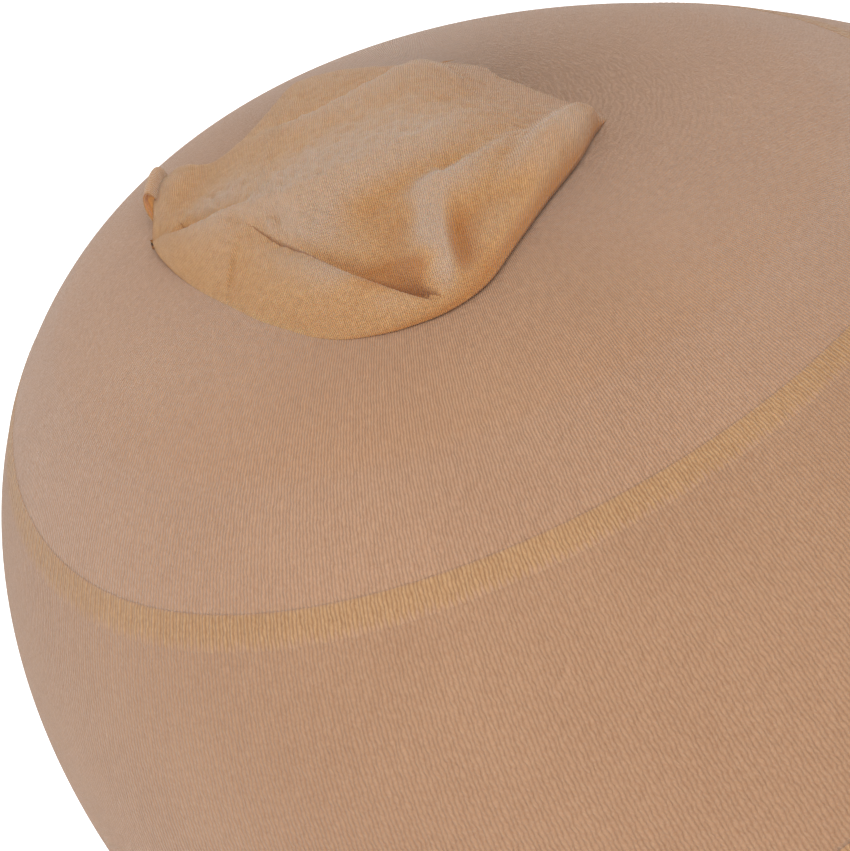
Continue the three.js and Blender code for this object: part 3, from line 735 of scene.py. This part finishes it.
def toe_ply(u, v, under):
    """A place on the toe's pillow. u and v are shares along and across it, and past 0 or 1 they turn
    back under its edge. The height closes on the edge as sqrt((1 - |2v-1|^n)(1 - |2u-1|^20)), with n
    greater where the edge is thin, upwards to the folds on top and downwards to the crown below, and
    sinks into the crown at the root. Towards the front the folds come down as a quarter sine to the
    edge's own height, and where that is next to nothing the part turned under lies in the crown's wall.
    With the place it gives its two map lengths, its height, the painted shade of the rim and underside, and
    how far it is from the painted shadow line under the edge, which ends at 1."""
    u_in, v_in = 1 - np.abs(1 - np.abs(u)), 1 - np.abs(1 - np.abs(v))
    below = under | (u < 0) | (u > 1) | (v < 0) | (v > 1)
    share = TOE_SECTIONS[0, 0] + (TOE_SECTIONS[-1, 0] - TOE_SECTIONS[0, 0]) * u_in
    columns = (smooth_through(TOE_SECTIONS[:, 0], TOE_SECTIONS[:, k], share) for k in (1, 2, 3, 4))
    back, front, lip_edge, slope = columns
    along = TOE_LENGTH * share
    across = TOE_WIDTH * (back + (front - back) * v_in)
    edge_power = SHARP_EDGE + (ROUND_EDGE - SHARP_EDGE) * np.clip(lip_edge / THICK_EDGE, 0, 1)
    closing = (1 - np.abs(2 * v_in - 1) ** edge_power) * (1 - np.abs(2 * u_in - 1) ** END_ROUND)
    closing = np.sqrt(np.maximum(0, closing))
    forward = np.clip((v_in - 0.5) / 0.5, 0, 1)
    forward = forward**2 * (3 - 2 * forward)
    inwards = np.clip(root_distance(along, across)[0] / FLAT_FADE, 0, 1)
    inwards = inwards * (2 - inwards)
    come_down = np.sin(math.pi / 2 * np.clip((front - back) * (1 - v_in) / slope, 0, 1))
    folds = np.cbrt(sum(fold_height(along, across, crest, left, right, 2.0) ** 3
                        for _, crest, left, right in TOE_FOLDS))
    creases = sum(fold_height(along, across, line, spread, spread, 1.3) for _, line, spread in TOE_CREASES)
    crumpled = crumple(along, across) * (0.1 + 0.9 * np.clip(patch_pilling_and_light(along, across), 0, 1))
    flat = TOE_FLAT * inwards * (1 - forward) + TOE_RISE * lip_edge * forward
    standing = 1 - forward * (1 - np.clip(lip_edge / THIN_EDGE, 0, 1))
    clear = TOE_CLEAR * standing - TUCK * (1 - standing)
    sole = clear - (0 if under else TOE_WALL) * (1 - standing)
    top = clear + flat + np.maximum(LEAST_SWELL * inwards, folds + creases) * come_down + crumpled * come_down
    edge = clear + flat / 2
    height = np.where(below, edge + (sole - edge) * closing, edge + (top - edge) * closing)
    # Painted shade on the lower part of the front rim and on the underside; line places the painted shadow
    # line under the edge.
    rim = np.clip(1 - closing / RIM_CLOSING, 0, 1) * (v_in > 0.5) * standing
    shade = np.where(below, UNDER_SHADE, EDGE_SHADE * rim)
    settled = root_share(along, across)
    sunk = np.where(below, TUCK + TOE_WALL, TUCK)
    line = closing / EDGE_LINE + 2 * (1 - standing) + 2 * (v_in < 0.5)
    return toe_point(along, across, (height + sunk) * settled - sunk), along, across, height, shade, line


def eased(shares):
    """Steps that grow smaller towards both ends, as (1 - cos(pi t)) / 2 does, past 0 and 1 too."""
    inside = (1 - np.cos(math.pi * np.clip(shares, 0, 1))) / 2
    return inside * 0.7 + np.clip(shares, 0, 1) * 0.3 + np.minimum(shares, 0) + np.maximum(shares - 1, 0)


def shade_by_relief(material, pilling_and_sheen, hollow_shade, crease):
    """Paints light and shade into the knit's colour: towards pale pilling and painted sheen where its relief
    attribute is over nothing, towards a deep orange painted shade where it is under nothing, and towards the
    dark painted shadow of a closed
    crease beside its lines: min(1 + 3x, 1 - x), with x the place across the crease. The painted shadow line
    under the toe's edge is shaded as a crease is."""
    tree = material.node_tree
    shader = tree.nodes["Principled BSDF"]
    colour = shader.inputs["Base Color"].links[0].from_socket

    def attribute(name):
        node = tree.nodes.new("ShaderNodeAttribute")
        node.attribute_name = name
        return node.outputs["Fac"]

    def towards(colour, target, share):
        node = tree.nodes.new("ShaderNodeMix")
        node.data_type = "RGBA"
        node.inputs["B"].default_value = (*target, 1.0)
        tree.links.new(share, node.inputs["Factor"])
        tree.links.new(colour, node.inputs["A"])
        return node.outputs["Result"]

    # Painted sheen and highlights over nothing, painted shade under nothing.
    for target, reach, most in ((pilling_and_sheen, 1.0, 0.85), (hollow_shade, -1.0, 0.9)):
        ramp = tree.nodes.new("ShaderNodeMapRange")
        ramp.inputs["From Max"].default_value = reach
        ramp.inputs["To Max"].default_value = most
        tree.links.new(attribute("relief"), ramp.inputs["Value"])
        colour = towards(colour, target, ramp.outputs["Result"])
    # Painted shadows in the creases and under the toe's edge.
    for name in ("lip_crease", "tip_crease", "edge_line"):
        rising, falling, least = (tree.nodes.new("ShaderNodeMath") for _ in range(3))
        for node, factor in ((rising, 3.0), (falling, -1.0)):
            node.operation = "MULTIPLY_ADD"
            tree.links.new(attribute(name), node.inputs[0])
            node.inputs[1].default_value = factor
            node.inputs[2].default_value = 1.0
        least.operation = "MINIMUM"
        tree.links.new(rising.outputs[0], least.inputs[0])
        tree.links.new(falling.outputs[0], least.inputs[1])
        ramp = tree.nodes.new("ShaderNodeMapRange")
        ramp.inputs["To Max"].default_value = 0.8
        tree.links.new(least.outputs[0], ramp.inputs["Value"])
        colour = towards(colour, crease, ramp.outputs["Result"])
    tree.links.new(colour, shader.inputs["Base Color"])


def toe_sheet(name, u, v, under, wall):
    """One ply of the toe. Its colour attributes are how far it has left its root, its places across the
    painted shadow lines, and its relief, which paints light and shade: how far a place stands over the even
    mean of those round it, paler as painted sheen on crests and deeper as painted shade in hollows, with what
    the patches add, and less towards the rim and underneath, which get painted shade."""
    points, alongs, acrosses, height, shade, edge_line = toe_ply(u, v, under)
    mean = height.copy()
    for _ in range(BLUR_ROUNDS):
        wide = np.pad(mean, 1, mode="edge")
        mean = (wide[1:-1, 1:-1] + wide[:-2, 1:-1] + wide[2:, 1:-1] + wide[1:-1, :-2] + wide[1:-1, 2:]) / 5
    own = np.clip(root_distance(alongs, acrosses)[0] / TINT_FADE, 0, 1)
    # Painted light and shade: crests paler; hollows, the rim and the underside a deeper orange.
    relief = (height - mean) / HOLLOW_DEPTH + patch_pilling_and_light(alongs, acrosses)
    relief = relief * own - shade * np.minimum(1, 4 * own)
    lines = {"relief": relief, "edge_line": edge_line}
    for name_of_line, (_, line, _) in zip(("lip_crease", "tip_crease"), TOE_CREASES):
        lines[name_of_line] = crease_places(alongs, acrosses, line)
    places = np.stack([alongs, acrosses], axis=-1)
    if under:
        points, places, own = (grid[:, ::-1] for grid in (points, places, own))
        lines = {key: grid[:, ::-1] for key, grid in lines.items()}
    piece = grid_piece(name, points, places, tints=own)
    for key, grid in lines.items():
        layer = piece.data.attributes.new(key, "FLOAT", "POINT")
        layer.data.foreach_set("value", grid.astype(np.float32).ravel())
    thicken(piece, wall)
    finish_piece(piece, "toe_pouch", toe_finish)


toe_finish = knit_material("toe_knit", TOE_YARN, TOE_GAP, 1 / TOE_WALE, 1 / TOE_COURSE, relief=0.00014,
                           fuzz=0.9, sheen=0.15, glow=0.3, contrast=0.6, speckle=1.1,
                           neighbour=(CROWN_YARN, CROWN_GAP))
shade_by_relief(toe_finish, PILLING_AND_SHEEN_COLOUR, HOLLOW_SHADE_COLOUR, CREASE_SHADOW_COLOUR)
u_steps = eased(np.linspace(-0.006, 1.006, TOE_ROWS + 1))[:, None] * np.ones(TOE_COLUMNS + 1)
v_steps = eased(np.linspace(-0.012, 1.045, TOE_COLUMNS + 1)) * np.ones((TOE_ROWS + 1, 1))
toe_sheet("toe_top_ply", u_steps, v_steps, False, TOE_WALL)
under_shares = np.linspace(UNDER_MARGIN, 1 - UNDER_MARGIN, UNDER_STEPS)
u_steps, v_steps = np.meshgrid(under_shares, under_shares, indexing="ij")
toe_sheet("toe_under_ply", u_steps, v_steps, True, UNDER_WALL)

# The rolled end of the seam that closes the toe: the plies curl over each other there into a small
# flat roll, which leans back over the toe and is open at its near end.
ROLL_LENGTH = 0.0066
ROLL_BREADTH = 0.0052
ROLL_THICKNESS = 0.0024
ROLL_GIRTH = 0.010
ROLL_LEAN = math.radians(66.0)
ROLL_HEADING = math.radians(-100.0)
ROLL_START = (0.522, -0.226)
ROLL_MOUTH = 0.92
ROLL_DISH = 0.0009
ROLL_NARROWING = 0.22
ROLL_LIP = 1 / 6
ROLL_SIDES = 64
ROLL_STEPS = 41
DISH_STEPS = 12
ROLL_YARN = (0.46, 0.27, 0.14)
ROLL_GAP = (0.33, 0.165, 0.068)
# Painted light: the roll's inside is a brighter orange than its outside, standing in for light coming through
# the thin knit.
ROLL_INSIDE_PAINTED_LIGHT = ((0.66, 0.32, 0.105), (0.50, 0.22, 0.065))


def seam_roll(name):
    """A flat roll along t: its section is an ellipse that leans over by ROLL_LEAN, and its size is
    ROLL_MOUTH at the near end and closes at the far end as sqrt(1 - t^5). Before t = 0 the surface
    turns in over a thin lip to a dish ROLL_DISH deep, whose size falls as sqrt(1 - s^2) and whose depth
    grows as sqrt(s) with s the share of the way in."""
    inside = np.linspace(1, 0, DISH_STEPS + 1)[:-1]
    t = np.concatenate([np.zeros(DISH_STEPS), np.linspace(0, 1, ROLL_STEPS)])[:, None] * np.ones(ROLL_SIDES)
    s = np.concatenate([inside, np.zeros(ROLL_STEPS)])[:, None] * np.ones(ROLL_SIDES)
    angle = np.arange(ROLL_SIDES) / ROLL_SIDES * 2 * math.pi * np.ones((t.shape[0], 1))
    past_lip = np.minimum(1, s / ROLL_LIP)
    heading = np.array([math.cos(ROLL_HEADING), math.sin(ROLL_HEADING)])
    side = np.array([heading[1], -heading[0]])
    size = np.sqrt(np.maximum(0.002, 1 - t**5)) * (ROLL_MOUTH + (1 - ROLL_MOUTH) * np.minimum(1, t * 4))
    size = size * (1 - ROLL_NARROWING * past_lip) * np.sqrt(np.maximum(0.002, 1 - s**2))
    broad = ROLL_BREADTH / 2 * size * np.cos(angle)
    thick = ROLL_THICKNESS / 2 * size * np.sin(angle)
    sideways = broad * math.cos(ROLL_LEAN) - thick * math.sin(ROLL_LEAN)
    reach = ROLL_LENGTH * t + ROLL_DISH * np.sqrt(s)
    along = ROLL_START[0] * TOE_LENGTH + heading[0] * reach + side[0] * sideways
    across = ROLL_START[1] * TOE_WIDTH + heading[1] * reach + side[1] * sideways
    half_rise = math.hypot(ROLL_BREADTH / 2 * math.sin(ROLL_LEAN), ROLL_THICKNESS / 2 * math.cos(ROLL_LEAN))
    height = TOE_CLEAR + half_rise + broad * math.sin(ROLL_LEAN) + thick * math.cos(ROLL_LEAN)
    girth = np.arange(ROLL_SIDES + 1) / ROLL_SIDES * ROLL_GIRTH * np.ones((t.shape[0], 1))
    places = np.stack([np.pad(reach, ((0, 0), (0, 1)), mode="edge"), girth], axis=-1)
    points = toe_point(along, across, height)
    return grid_piece(name, points, places, wrap_v=True, tints=1 - past_lip)


roll = seam_roll("seam_roll_knit")
# The inside of the roll takes the painted light colours.
roll_finish = knit_material("seam_knit", ROLL_YARN, ROLL_GAP, 1 / 0.0006, 1 / 0.0005, relief=0.00012,
                            fuzz=0.8, sheen=0.3, glow=0.4, neighbour=ROLL_INSIDE_PAINTED_LIGHT)
finish_piece(roll, "seam_roll", roll_finish)
